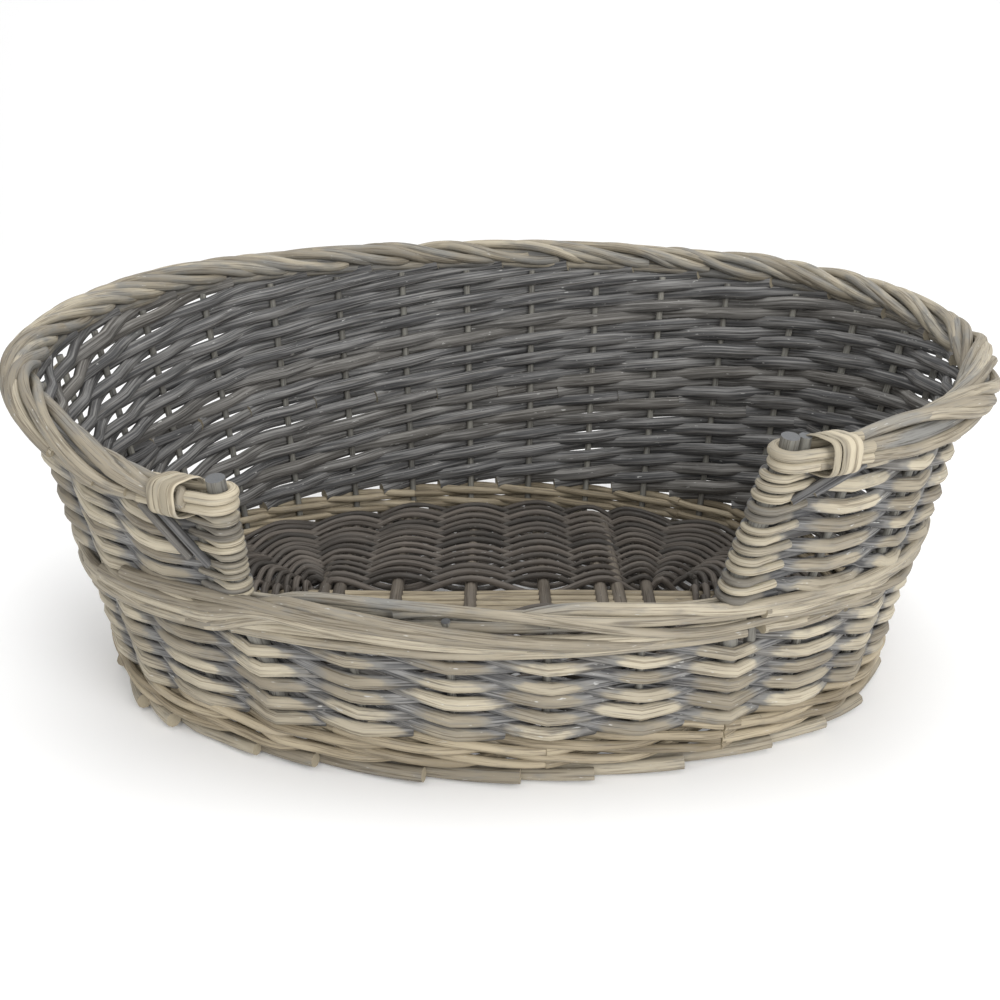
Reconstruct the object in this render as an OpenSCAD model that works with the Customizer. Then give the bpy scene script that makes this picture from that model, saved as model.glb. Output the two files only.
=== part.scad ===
// Oval willow pet basket with a dipped entry, woven on upright stakes.
// Millimetres, +Z up, X along the length, the entry faces -Y.
// The plan is an oval of eight arcs that share their tangents where they meet.
// An angle round the plan starts at the front centre and grows towards +X.

/* [Overall] */
// Length over the rim
basket_length = 740; // [500:10:1000]
// Depth over the rim, as if it ran round the front too
basket_depth = 600; // [400:10:800]
// Height of the top of the rim at the back
back_height = 276; // [180:1:400]
// Height of the top of the front rail
front_height = 142; // [90:1:200]
// How much higher the rim is at the back than at the front
rim_rise = 28; // [0:1:80]
// Radius of the plan's four corners, along the middle of the rim
corner_radius = 208; // [150:1:300]
// Outward lean of the wall, degrees
wall_lean = 11.1; // [0:0.1:20]
// How far the middle of the rim stands outside the stakes
rim_overhang = 8; // [0:0.5:15]
// Distance between the middles of the two entry posts, at the rim
entry_width = 330; // [200:5:420]

/* [Stakes and posts] */
// Diameter of an upright stake
stake_d = 6; // [4:0.5:9]
// Number of tall stakes, from the right post round the back to the left post
tall_stakes = 24; // [12:1:36]
// Number of short stakes under the entry
short_stakes = 4; // [2:1:8]
// Diameter of an entry post
post_d = 13; // [9:0.5:18]
// Distance from a post to the first tall stake, along the wall
first_stake = 56; // [44:1:60]
// Diameter of the liner stick beside each post
liner_d = 8; // [5:0.5:12]
// How far a post stands above the rim
post_proud = 1.5; // [0:0.5:10]

/* [Woven bands] */
// Thickness of the woven siding
siding_t = 20; // [17:0.5:26]
// Diameter of a waling rod
wale_d = 8; // [5:0.5:10]
// Waling rods in the bottom band
foot_wales = 3; // [2:1:5]
// Waling rods in the band at the height of the front rail
mid_wales = 4; // [2:1:5]
// Diameter of a front rail rod
rail_d = 8; // [6:0.5:10]
// Rods stacked on each side of the front rail
rail_rods = 4; // [3:1:5]
// Diameter of the rod that caps the front rail
cap_d = 10; // [8:0.5:12]
// Diameter of a weaver turned round a post
turn_d = 7; // [4:0.5:9]

/* [Rim border] */
// Diameter of the rim's core rod
core_d = 10; // [8:0.5:16]
// Diameter of the six rods laid round the core
rim_rod_d = 9.4; // [6:0.1:12]
// Turns of flat skein that lash each end of the rim
lash_turns = 4; // [2:1:6]
// Width of the flat skein
lash_w = 5; // [3:0.5:8]
// Thickness of the flat skein
lash_t = 1.4; // [0.8:0.1:2.5]

/* [Base] */
// Diameter of a foot border rod
foot_d = 11; // [8:0.5:14]
// Flat worn into the underside of the foot border
foot_flat = 0.3; // [0.1:0.1:1]
// Diameter of a long stick
long_d = 7.5; // [5:0.5:10]
// Number of long sticks
long_sticks_n = 4; // [3:1:6]
// Distance between long sticks
long_pitch = 10.7; // [8:0.1:16]
// How far the middle of the long sticks lies behind the middle of the base
long_behind = 6; // [0:0.5:10]
// Diameter of a cross stick
cross_d = 11.5; // [10:0.5:16]
// Where the cross sticks lie along the length
cross_at = [-152, -139, -89, -25, 39, 88, 103, 128];
// Thickness of the woven base
base_t = 17; // [14:0.5:24]
// Length of the open middle of the base, where the sticks show
window_length = 330; // [250:5:400]
// Depth of the open middle of the base
window_depth = 58; // [46:1:80]

/* [Fits] */
// Clearance between neighbouring rods
rod_gap = 0.3; // [0.2:0.1:1]
// Clearance all round a stick in its bore
bore_gap = 0.3; // [0.2:0.1:1]
// Gap between two lengths of one ring
seam_gap = 0.3; // [0.1:0.1:1]
// Longest turn of one length of rod, degrees
rod_step = 20; // [10:5:60]
// Longest turn of one panel of siding, degrees
panel_step = 15; // [10:5:60]

/* [Hidden] */
$fn = 48;
arc_half = 30;                                   // half the turn of a side arc and of an end arc
ring_r = max((core_d + rim_rod_d) / 2, rim_rod_d) + rod_gap;     // middle of the rim rods: clear of the core and of each other
rim_r = ring_r + rim_rod_d / 2;                  // radius of the whole rim border
rim_a = basket_length / 2 - rim_r;
rim_b = basket_depth / 2 - rim_r;
rim_top = ring_r * sin(60) + rim_rod_d / 2;      // top of the upper rim rods above the rim's middle
rim_z = back_height - rim_top - rim_rise / 2;    // middle of the rim, half way along the depth
rim_tilt = atan(rim_rise / 2 / rim_b);

// Eight tangent arcs: how far the end and side arcs' radii differ from the corner's
side_share = (1 - cos(arc_half)) / sin(arc_half);
end_extra = (rim_b - corner_radius - side_share * (rim_a - corner_radius))
  / (sin(arc_half) - side_share * (1 - cos(arc_half)));
side_extra = (rim_a - corner_radius - end_extra * (1 - cos(arc_half))) / sin(arc_half);
end_r = corner_radius + end_extra;
side_r = corner_radius + side_extra;
corner_x = side_extra * sin(arc_half);
corner_y = end_extra * sin(arc_half);

// Each arc: centre x, centre y, radius, first angle, last angle
arcs = [
  [0, side_r - rim_b, side_r, -arc_half, arc_half],
  [corner_x, -corner_y, corner_radius, arc_half, 90 - arc_half],
  [rim_a - end_r, 0, end_r, 90 - arc_half, 90 + arc_half],
  [corner_x, corner_y, corner_radius, 90 + arc_half, 180 - arc_half],
  [0, rim_b - side_r, side_r, 180 - arc_half, 180 + arc_half],
  [-corner_x, corner_y, corner_radius, 180 + arc_half, 270 - arc_half],
  [end_r - rim_a, 0, end_r, 270 - arc_half, 270 + arc_half],
  [-corner_x, -corner_y, corner_radius, 270 + arc_half, 360 - arc_half],
  [0, side_r - rim_b, side_r, 360 - arc_half, 360 + arc_half]];

// Radial and vertical places of the bands
siding_gap = 0.6;
wale_off = stake_d / 2 + rod_gap + wale_d / 2;
rail_off = post_d / 2 + rod_gap + rail_d / 2;
foot_off = foot_d / 2 + rod_gap;
foot_z = foot_d / 2 - foot_flat;
foot_top = foot_z + foot_d / 2;
wale_pitch = wale_d + rod_gap;
foot_wale_z = foot_top + siding_gap + 2 + wale_d / 2;
siding_low = foot_wale_z + (foot_wales - 1) * wale_pitch + wale_d / 2 + siding_gap;
rail_pitch = rail_d + rod_gap;
rail_top_z = front_height - cap_d / 2 - 1;
rail_low_z = rail_top_z - (rail_rods - 1) * rail_pitch;
siding_mid = rail_low_z - rail_d / 2 - siding_gap;
mid_wale_z = siding_mid + siding_gap + wale_d / 2;
siding_high = max(mid_wale_z + (mid_wales - 1) * wale_pitch + wale_d / 2, rail_top_z + rail_d / 2) + siding_gap;
rim_drop = rim_r + lash_t + 2 * rod_gap + 0.4;   // the siding stops this far under the rim's middle
post_foot = siding_low + 5;

// Angles round the plan
entry_at = asin(entry_width / 2 / side_r);
turn_r = post_d / 2 + rod_gap + turn_d / 2;
siding_from = entry_at + reach(turn_r + turn_d / 2 + siding_gap);
liner_from = entry_at + reach(turn_r + turn_d / 2 + rod_gap + liner_d);
loop_r = post_d / 2 + rod_gap + rim_rod_d / 2;

// The finished basket is centred on its own box
front_reach = rim_b + wall_off(rail_top_z) + rail_off + rail_d / 2;
back_reach = (rim_b + ring_r) * cos(rim_tilt) + rim_rod_d / 2;
frame_shift = (front_reach - back_reach) / 2;

// Angle that a distance along the front or back of the wall takes
function reach(along) = along / (side_r + wall_off(front_height)) * 180 / PI;
// Stake line's distance outside the rim's middle line, at a height
function wall_off(z) = -rim_overhang - (rim_z - z) * tan(wall_lean);
function arc_at(at) = [for (a = arcs) if (at >= a[3] && at <= a[4]) a][0];
// Point of the plan at an angle, moved outwards by off
function spot(at, off) = let (a = arc_at(at))
  [a[0] + (a[2] + off) * sin(at), a[1] - (a[2] + off) * cos(at)];
// Length of the line between two angles
function run(from, to, off) = from >= to - 0.001 ? 0 :
  let (a = arc_at(from + 0.001), end = min(a[4], to))
  (end - from) * (a[2] + off) * PI / 180 + run(end, to, off);
// Angle reached after a length along the line
function walk(from, along, off) =
  let (a = arc_at(from + 0.001), left = (a[4] - from) * (a[2] + off) * PI / 180)
  along <= left ? from + along / (a[2] + off) * 180 / PI : walk(a[4], along - left, off);
function rim_height(at, off) = rim_z + spot(at, off)[1] * tan(rim_tilt);
// Angle of a tall stake: the first and last stand near the posts, and the rest evenly between them
function tall_at(i) = walk(entry_at, first_stake + i * (run(entry_at, 360 - entry_at, wall_off(siding_mid))
  - 2 * first_stake) / (tall_stakes - 1), wall_off(siding_mid));
function short_at(i) = -entry_at + (i + 1) * 2 * entry_at / (short_stakes + 1);

module in_frame() translate([0, frame_shift, 0]) children();
module on_rim() in_frame() translate([0, 0, rim_z]) rotate([rim_tilt, 0, 0]) children();

// Carries a section (distance outside the line, height) along the plan, in lengths of one arc each
module sweep(from, to, step = rod_step) {
  for (a = arcs) let (turn = (a[4] - a[3]) / ceil((a[4] - a[3]) / step), seam = seam_gap / a[2] * 90 / PI)
    for (start = [a[3]:turn:a[4] - turn / 2]) let (lo = max(from, start), hi = min(to, start + turn))
      if (hi - lo > 4 * seam)
        translate([a[0], a[1], 0]) rotate([0, 0, lo + seam - 90])
          rotate_extrude(angle = hi - lo - 2 * seam) translate([a[2], 0]) children();
}

// One rod that runs along the wall at a height, off the stake line
module wall_rod(from, to, off, z, d) sweep(from, to) translate([wall_off(z) + off, z]) circle(d = d);

// Section of the woven siding between two heights
module siding_section(low, high) polygon([
  [wall_off(low) - siding_t / 2, low], [wall_off(low) + siding_t / 2, low],
  [wall_off(high) + siding_t / 2, high], [wall_off(high) - siding_t / 2, high]]);

// Local frame on the wall: origin on the stake line at height z, +X outwards, +Z up the lean
module on_wall(at, z) translate([spot(at, wall_off(z))[0], spot(at, wall_off(z))[1], z])
  rotate([0, 0, at - 90]) rotate([0, wall_lean, 0]) children();

module upright(at, d, low, high) on_wall(at, low) cylinder(d = d, h = (high - low) / cos(wall_lean));
module tall_upright(at, d, low) upright(at, d, low, rim_height(at, -rim_overhang) - rim_drop - siding_gap);
module above_rim() translate([0, 0, rim_z]) rotate([rim_tilt, 0, 0]) translate([0, 0, 200 - rim_drop])
  cube([3 * basket_length, 3 * basket_depth, 400], center = true);

// Base
slab_off = wall_off(foot_z) - foot_off - foot_d / 2 - 2 * rod_gap;
slab_z = foot_z + cross_d - 0.7;
stick_margin = 14;
function cross_half(x) = rim_b - side_r + sqrt(pow(side_r + slab_off, 2) - x * x) - stick_margin;

module long_rods(d) for (i = [0:long_sticks_n - 1])
  translate([0, long_behind + (i - (long_sticks_n - 1) / 2) * long_pitch, slab_z]) rotate([0, 90, 0])
  cylinder(d = d, h = 2 * (rim_a + slab_off - stick_margin), center = true);
module cross_rods(d) for (x = cross_at) translate([x, 0, slab_z]) rotate([90, 0, 0])
  cylinder(d = d, h = 2 * cross_half(x), center = true);

module long_sticks() in_frame() color("burlywood") long_rods(long_d);
module cross_sticks() in_frame() color("rosybrown") difference() {
  cross_rods(cross_d);
  long_rods(long_d + 2 * bore_gap);
}
module base_weave() in_frame() color("dimgray") difference() {
  translate([0, 0, slab_z - base_t / 2]) linear_extrude(base_t)
    polygon([for (at = [0:5:355]) spot(at, slab_off)]);
  translate([0, long_behind, slab_z]) cube([window_length, window_depth, 2 * base_t], center = true);
  long_rods(long_d + 2 * bore_gap);
  cross_rods(cross_d + 2 * bore_gap);
}

// Foot border: short strokes that pass each other, flat underneath where they rest
module foot_strokes(first, off) {
  whole = run(-arc_half, 360 - arc_half, wall_off(foot_z));
  count = tall_stakes + short_stakes + 2;
  for (i = [first:2:count - 1])
    let (from = walk(-arc_half, i * whole / count + 2, wall_off(foot_z)),
      to = walk(-arc_half, min(i + 2, count) * whole / count - 2, wall_off(foot_z)))
      sweep(from, to) translate([wall_off(foot_z) + off, foot_z]) intersection() {
        circle(d = foot_d);
        translate([-foot_d / 2, -foot_z]) square([foot_d, 2 * foot_d]);
      }
}
module foot_border_outer() in_frame() color("tan") foot_strokes(0, foot_off);
module foot_border_inner() in_frame() color("tan") foot_strokes(1, -foot_off);

// Bottom waling, outside and inside the stakes
module foot_rings(off) for (i = [0:foot_wales - 1])
  wall_rod(-arc_half, 360 - arc_half, off, foot_wale_z + i * wale_pitch, wale_d);
module foot_wale() in_frame() color("tan") foot_rings(wale_off);
module upsett_wale() in_frame() color("wheat") foot_rings(-wale_off);

// Stakes
stake_foot = foot_top + siding_gap;
module tall_group(first, last) in_frame() color("darkgray")
  for (i = [first:last]) tall_upright(tall_at(i), stake_d, stake_foot);
third = floor(tall_stakes / 3);
module stakes_front() in_frame() color("darkgray") for (i = [0:short_stakes - 1])
  upright(short_at(i), stake_d, stake_foot, rail_top_z - cap_d / 2 - siding_gap);
module stakes_right() tall_group(0, third - 1);
module stakes_back() tall_group(third, tall_stakes - third - 1);
module stakes_left() tall_group(tall_stakes - third, tall_stakes - 1);

// Everything that stands in the siding, widened by the bore clearance
module standing() {
  for (i = [0:tall_stakes - 1]) tall_upright(tall_at(i), stake_d + 2 * bore_gap, stake_foot);
  for (i = [0:short_stakes - 1]) upright(short_at(i), stake_d + 2 * bore_gap, stake_foot, front_height);
  for (side = [1, -1]) {
    tall_upright(side_at(side, entry_at), post_d + 2 * bore_gap, post_foot - bore_gap);
    tall_upright(side_at(side, liner_at), liner_d + 2 * bore_gap, post_foot - bore_gap);
  }
}
function side_at(side, at) = side > 0 ? at : 360 - at;
liner_at = liner_from - reach(liner_d / 2);

module lower_panels(from, to) in_frame() color("peru") difference() {
  sweep(from, to, panel_step) siding_section(siding_low, siding_mid);
  standing();
}
module upper_panels(from, to, low = siding_high) in_frame() color("peru") difference() {
  sweep(from, to, panel_step) siding_section(low, back_height);
  above_rim();
  standing();
}
module siding_lower_front() lower_panels(-arc_half, arc_half);
module siding_lower_right() lower_panels(arc_half, 180 - arc_half);
module siding_lower_back() lower_panels(180 - arc_half, 180 + arc_half);
module siding_lower_left() lower_panels(180 + arc_half, 360 - arc_half);
module siding_upper_right() upper_panels(siding_from, 180 - arc_half);
module siding_upper_back() upper_panels(180 - arc_half, 180 + arc_half, siding_mid + siding_gap);
module siding_upper_left() upper_panels(180 + arc_half, 360 - siding_from);

// Waling at the height of the front rail, from each post to where the side meets the back
rail_from = entry_at + reach(post_d / 2 + 12);
module mid_rings(off) for (i = [0:mid_wales - 1]) {
  wall_rod(rail_from + reach(2), 180 - arc_half - reach(2), off, mid_wale_z + i * wale_pitch, wale_d);
  wall_rod(180 + arc_half + reach(2), 360 - rail_from - reach(2), off, mid_wale_z + i * wale_pitch, wale_d);
}
liner_off = liner_d / 2 + rod_gap + wale_d / 2;
module mid_wale_outer() in_frame() color("tan") mid_rings(liner_off);
module mid_wale_inner() in_frame() color("slategray") mid_rings(-liner_off);

// Front rail: rods stacked on both sides of the posts, and a cap between them
module rail_stack(off) for (i = [0:rail_rods - 1])
  wall_rod(-rail_from, rail_from, off, rail_low_z + i * rail_pitch, rail_d);
module front_rail_outer() in_frame() color("tan") rail_stack(rail_off);
module front_rail_inner() in_frame() color("slategray") rail_stack(-rail_off);
module front_rail_cap() in_frame() color("wheat")
  wall_rod(-entry_at + reach(post_d / 2 + 1), entry_at - reach(post_d / 2 + 1), 0, rail_top_z, cap_d);

// Entry posts, the liner sticks beside them, and the weavers turned round them
post_rim_z = rim_height(entry_at, -rim_overhang);
module post(side) in_frame() color("gray")
  upright(side_at(side, entry_at), post_d, post_foot, post_rim_z + rim_r + post_proud);
module post_right() post(1);
module post_left() post(-1);
module liner(side) in_frame() color("gray") tall_upright(side_at(side, liner_at), liner_d, post_foot);
module liner_right() liner(1);
module liner_left() liner(-1);

wrap_low = siding_high + turn_d / 2 + 2;
wrap_high = post_rim_z - rim_r - turn_d / 2 - 1;
wrap_count = floor((wrap_high - wrap_low) / (turn_d + rod_gap)) + 1;
module turn(side, z, r, d, sweep_angle) on_wall(side_at(side, entry_at), z)
  rotate([0, 0, side > 0 ? 180 : 0]) rotate_extrude(angle = sweep_angle) translate([r, 0]) circle(d = d);
module post_wrap(side) in_frame() color("navajowhite") for (i = [0:wrap_count - 1])
  turn(side, wrap_low + i * (turn_d + rod_gap), turn_r, turn_d, 360);
module post_wrap_right() post_wrap(1);
module post_wrap_left() post_wrap(-1);

// Rim border: six rods round a core, from post to post, and the loops that close it round the posts
module rim_rods(turns, gap) on_rim() color("tan") for (turn = turns)
  sweep(entry_at + gap, 360 - entry_at - gap)
    translate([ring_r * cos(turn), ring_r * sin(turn)]) circle(d = rim_rod_d);
butt_gap = reach(post_d / 2 + 2 * siding_gap);
loop_gap = reach(loop_r + rim_rod_d / 2 + siding_gap);
module rim_core() on_rim() color("burlywood") sweep(entry_at + loop_gap, 360 - entry_at - loop_gap) circle(d = core_d);
module rim_rods_outer() rim_rods([0], butt_gap);
module rim_rods_top() rim_rods([60, 120], loop_gap);
module rim_rods_inner() rim_rods([180], loop_gap);
module rim_rods_under() rim_rods([240, 300], loop_gap);
module post_loop(side) in_frame() color("wheat") for (up = [-1, 1])
  turn(side, post_rim_z + up * (rim_rod_d + rod_gap) / 2, loop_r, rim_rod_d, 180);
module post_loop_right() post_loop(1);
module post_loop_left() post_loop(-1);

// Flat skein lashed round each end of the rim
lash_from = loop_r + rim_rod_d / 2 + 4;
module lashing(side) on_rim() color("palegoldenrod") for (i = [0:lash_turns - 1])
  let (at = side_at(side, entry_at + reach(lash_from + (i + 0.5) * (lash_w + 1))))
    translate([spot(at, 0)[0], spot(at, 0)[1], 0]) rotate([0, 0, at - 90]) rotate([90, 0, 0])
      rotate_extrude() translate([rim_r + rod_gap, -lash_w / 2]) square([lash_t, lash_w]);
module lashing_right() lashing(1);
module lashing_left() lashing(-1);

long_sticks();
cross_sticks();
base_weave();
foot_border_outer();
foot_border_inner();
foot_wale();
upsett_wale();
stakes_front();
stakes_right();
stakes_back();
stakes_left();
siding_lower_front();
siding_lower_right();
siding_lower_back();
siding_lower_left();
mid_wale_outer();
mid_wale_inner();
front_rail_outer();
front_rail_inner();
front_rail_cap();
siding_upper_right();
siding_upper_back();
siding_upper_left();
post_right();
post_left();
liner_right();
liner_left();
post_wrap_right();
post_wrap_left();
rim_core();
rim_rods_outer();
rim_rods_top();
rim_rods_inner();
rim_rods_under();
post_loop_right();
post_loop_left();
lashing_right();
lashing_left();
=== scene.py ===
# %% [markdown]
# # An oval willow pet basket
#
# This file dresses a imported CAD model. The CAD gives every band of the basket its place and size.
# Here each band is rebuilt from single willow rods, because a woven wall only looks woven when light
# falls between real rods. The file is read from top to bottom: the plan of the basket first, then one
# helper that turns paths into rods, then one piece at a time, then the finishes, the lights and the camera.

# %% Load the frame
import math

import bpy
import numpy as np
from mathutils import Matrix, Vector


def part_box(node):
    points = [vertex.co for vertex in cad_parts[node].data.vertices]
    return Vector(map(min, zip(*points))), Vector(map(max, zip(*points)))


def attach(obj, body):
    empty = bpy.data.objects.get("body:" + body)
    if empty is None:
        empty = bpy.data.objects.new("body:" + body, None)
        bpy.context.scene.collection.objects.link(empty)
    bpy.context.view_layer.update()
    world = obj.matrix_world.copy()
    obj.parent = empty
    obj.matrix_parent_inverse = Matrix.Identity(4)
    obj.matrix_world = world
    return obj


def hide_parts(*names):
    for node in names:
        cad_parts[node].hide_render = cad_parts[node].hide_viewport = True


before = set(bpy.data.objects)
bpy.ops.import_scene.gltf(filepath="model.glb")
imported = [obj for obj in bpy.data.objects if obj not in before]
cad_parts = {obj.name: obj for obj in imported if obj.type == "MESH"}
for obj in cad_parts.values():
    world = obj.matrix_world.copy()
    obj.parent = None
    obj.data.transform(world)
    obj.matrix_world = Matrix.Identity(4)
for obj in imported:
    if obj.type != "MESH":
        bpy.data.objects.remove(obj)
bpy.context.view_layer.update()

# %% [markdown]
# ## The plan
#
# The real basket is laid out on an oval base, and its walls lean outwards by the same amount all round.
# An oval of eight arcs that share their tangents does this well: moving every arc outwards by one
# distance keeps it smooth, so one function serves the floor, the wall and the rim. The sizes come from
# the boxes of the CAD nodes, and the values named here are the ones that a box doesn't tell.
#
# A hand-made basket is never quite even. Here the two entry posts lean their own way, and the rim hangs
# lower at the left post. Two small functions hold that, so the whole weave goes along with them.

# %% The oval and the leaning wall
CORNER_R = 0.208      # radius of the plan's corners, along the middle of the rim
ARC_HALF = 30.0       # half the turn of a side arc and of an end arc, in degrees
LEAN_ANGLE = math.radians(11.1)
LEAN = math.tan(LEAN_ANGLE)
RIM_RISE = 0.028      # how much higher the rim is at the back
OVERHANG = 0.008      # how far the rim's middle stands outside the stakes
ENTRY_HALF = 0.165    # half the distance between the entry posts, at the rim
CORE_R = 0.005        # radius of the rim's core


def span(node, axis):
    """Lowest and highest coordinate of a CAD node along one axis."""
    low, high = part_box(node)
    return low[axis], high[axis]


rim_a = span("rim_core", 0)[1] - CORE_R
base_low, base_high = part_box("base_weave")
shift = (base_low[1] + base_high[1]) / 2
rim_b = (base_high[1] - base_low[1]) / 2 + rim_a - (base_high[0] - base_low[0]) / 2
tilt = math.atan(RIM_RISE / 2 / rim_b)
rim_z = span("rim_core", 2)[1] - CORE_R - rim_b * math.sin(tilt)

sine, cosine = math.sin(math.radians(ARC_HALF)), math.cos(math.radians(ARC_HALF))
share = (1 - cosine) / sine
end_extra = (rim_b - CORNER_R - share * (rim_a - CORNER_R)) / (sine - share * (1 - cosine))
side_extra = (rim_a - CORNER_R - end_extra * (1 - cosine)) / sine
END_R, SIDE_R = CORNER_R + end_extra, CORNER_R + side_extra
CORNER_X, CORNER_Y = side_extra * sine, end_extra * sine
# centre x, centre y, radius, first angle: angles start at the front middle and grow towards +X
ARCS = np.array([
    [0, SIDE_R - rim_b, SIDE_R, -30], [CORNER_X, -CORNER_Y, CORNER_R, 30], [rim_a - END_R, 0, END_R, 60],
    [CORNER_X, CORNER_Y, CORNER_R, 120], [0, rim_b - SIDE_R, SIDE_R, 150],
    [-CORNER_X, CORNER_Y, CORNER_R, 210], [END_R - rim_a, 0, END_R, 240],
    [-CORNER_X, -CORNER_Y, CORNER_R, 300]])
ENTRY = math.degrees(math.asin(ENTRY_HALF / SIDE_R))


def plan(angle, off):
    """Points of the oval at angles in degrees, moved outwards by off: each arc's centre plus its
    radius plus off, in the direction of the angle. Returns x and y measured from the rim's middle."""
    turn = np.mod(np.asarray(angle, float) + 30, 360) - 30
    arc = ARCS[np.searchsorted(ARCS[:, 3], turn, side="right") - 1]
    radius, radians = arc[..., 2] + off, np.radians(turn)
    return arc[..., 0] + radius * np.sin(radians), arc[..., 1] - radius * np.cos(radians)


POST_LEAN_Z = [0.07, 0.13, 0.24]      # heights where the posts' own lean is known
POST_LEAN = {1: [0, -1.1, 1.2], -1: [0, -1.7, -1.4]}      # degrees at those heights, right and left
LEAN_SPREAD = 10      # how far round from a post its lean is felt, in degrees
SAG = 0.030           # how far the rim hangs lower at the left post
SAG_SPREAD = 26       # how far round from the left post the rim hangs, in degrees


def from_front(angle):
    """The same angles written from -180 to 180, with 0 at the front."""
    return np.mod(np.asarray(angle, float) + 180, 360) - 180


def hand_set(angle, height):
    """The angle of a place once the two posts lean their own way, as posts set by hand do. The weave
    near a post goes with it: the shift fades as exp(-x^2), with x the angle from the post over the
    spread."""
    turn = from_front(angle)
    shift_by = sum(np.exp(-((turn - side * ENTRY) / LEAN_SPREAD) ** 2) * np.interp(height, POST_LEAN_Z, lean)
                   for side, lean in POST_LEAN.items())
    return angle + shift_by


def sag(angle):
    """How far the rim hangs below its plane: most at the left post, and fading towards the side."""
    turn = from_front(angle)
    return SAG * np.exp(-((turn + ENTRY) / SAG_SPREAD) ** 2) * (turn < 0)


def outward(angle):
    """Unit vectors that point straight out of the wall at each angle."""
    radians = np.radians(np.asarray(angle, float))
    return np.stack([np.sin(radians), -np.cos(radians), np.zeros_like(radians)], -1)


def wall_off(height):
    """Distance of the stakes outside the rim's middle line: it grows with height, as the wall leans."""
    return -OVERHANG - (rim_z - np.asarray(height, float)) * LEAN


def on_wall(angle, off, height):
    """Points at an angle round the wall, off metres outside the stakes. A stake leans, and off is
    measured at right angles to it, so a point further out is also a little lower."""
    x, y = plan(hand_set(angle, height), wall_off(height) + off * math.cos(LEAN_ANGLE))
    return np.stack(np.broadcast_arrays(x, y + shift, height - off * math.sin(LEAN_ANGLE)), -1)


def on_rim(angle, off, up):
    """Points of the tilted rim: off outside its middle line and up above it, then turned about the
    X axis by the rim's tilt, so that the back stands higher than the entry."""
    x, y = plan(hand_set(angle, rim_z), off - LEAN * sag(angle))
    up = np.broadcast_to(up, np.shape(y)) - sag(angle)
    return np.stack([x, y * math.cos(tilt) - up * math.sin(tilt) + shift,
                     y * math.sin(tilt) + up * math.cos(tilt) + rim_z], -1)


def rim_height(angle):
    """Height of the rim's middle above the floor at each angle."""
    return rim_z + plan(angle, 0.0)[1] * math.tan(tilt) - sag(angle)


print("rim half length", round(rim_a, 4), "half depth", round(rim_b, 4), "entry post at", round(ENTRY, 2))

# %% [markdown]
# ## Where the uprights stand
#
# A weaver spaces the stakes evenly by hand, so they are placed by distance along the wall and not by
# angle. A table of distance against angle, read backwards, turns one into the other. The posts count
# as uprights too: the weave passes in front of and behind them like any stake.

# %% Uprights
TALL, SHORT = 24, 4
MID_Z = 0.107
FIRST_GAP = 0.056     # from a post to the tall stake beside it
table_angle = np.linspace(-90, 450, 5401)
table_point = np.stack(plan(table_angle, wall_off(MID_Z)), -1)
table_length = np.concatenate([[0], np.cumsum(np.linalg.norm(np.diff(table_point, axis=0), axis=1))])


def angle_at(start, distance):
    """Angle reached after a distance along the wall from a starting angle, by reading the table."""
    return np.interp(np.interp(start, table_angle, table_length) + distance, table_length, table_angle)


def length_between(start, end):
    """Distance along the wall between two angles."""
    return np.interp(end, table_angle, table_length) - np.interp(start, table_angle, table_length)


gap = (length_between(ENTRY, 360 - ENTRY) - 2 * FIRST_GAP) / (TALL - 1)
tall_angle = angle_at(ENTRY, FIRST_GAP + gap * np.arange(TALL))
short_angle = -ENTRY + 2 * ENTRY * np.arange(1, SHORT + 1) / (SHORT + 1)
# post, stakes, post, short stakes: one turn of uprights, in order of angle
upright_angle = np.concatenate([[ENTRY], tall_angle, [360 - ENTRY], short_angle + 360])
COUNT = len(upright_angle)
print(COUNT, "uprights,", round(gap * 1000, 1), "mm apart")


def upright(k):
    """Angle at a place counted in uprights, which may be a fraction and may run past a full turn."""
    k = np.asarray(k, float)
    turns = np.floor(k / COUNT)
    whole = np.append(upright_angle, upright_angle[0] + 360)
    return np.interp(k - turns * COUNT, np.arange(COUNT + 1), whole) + 360 * turns


# %% [markdown]
# ## One rod, many rods
#
# Every piece here is willow: round, thicker at the butt than at the tip, never quite straight, and cut
# across at its ends. So one helper makes them all. It takes the middle lines of many rods at once and
# carries a round section along each. It also stores what the finishes need to know at each point: a
# random tint for the rod, how far the point is into the dark inner face (partly staining, partly painted
# shade), where it lies on the rod as if the rod were straight (so that the grain runs along it round
# every bend), and whether it is on a cut.

# %% The rod maker
def curve_frame(path, guide):
    """Two unit vectors across each path: the guide with its part along the path taken away, and the
    cross product of the path's direction with that one."""
    direction = np.gradient(path, axis=1)
    direction /= np.linalg.norm(direction, axis=2, keepdims=True) + 1e-12
    guide = np.broadcast_to(np.asarray(guide, float), path.shape)
    first = guide - (guide * direction).sum(2, keepdims=True) * direction
    first /= np.linalg.norm(first, axis=2, keepdims=True) + 1e-12
    return first, np.cross(direction, first)


def put_attribute(mesh, name, kind, values):
    """Stores one value or vector for each vertex under a name that a material can read."""
    layer = mesh.attributes.new(name, kind, "POINT")
    field = "vector" if kind == "FLOAT_VECTOR" else "value"
    layer.data.foreach_set(field, np.ravel(values).astype(np.float32))


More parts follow.
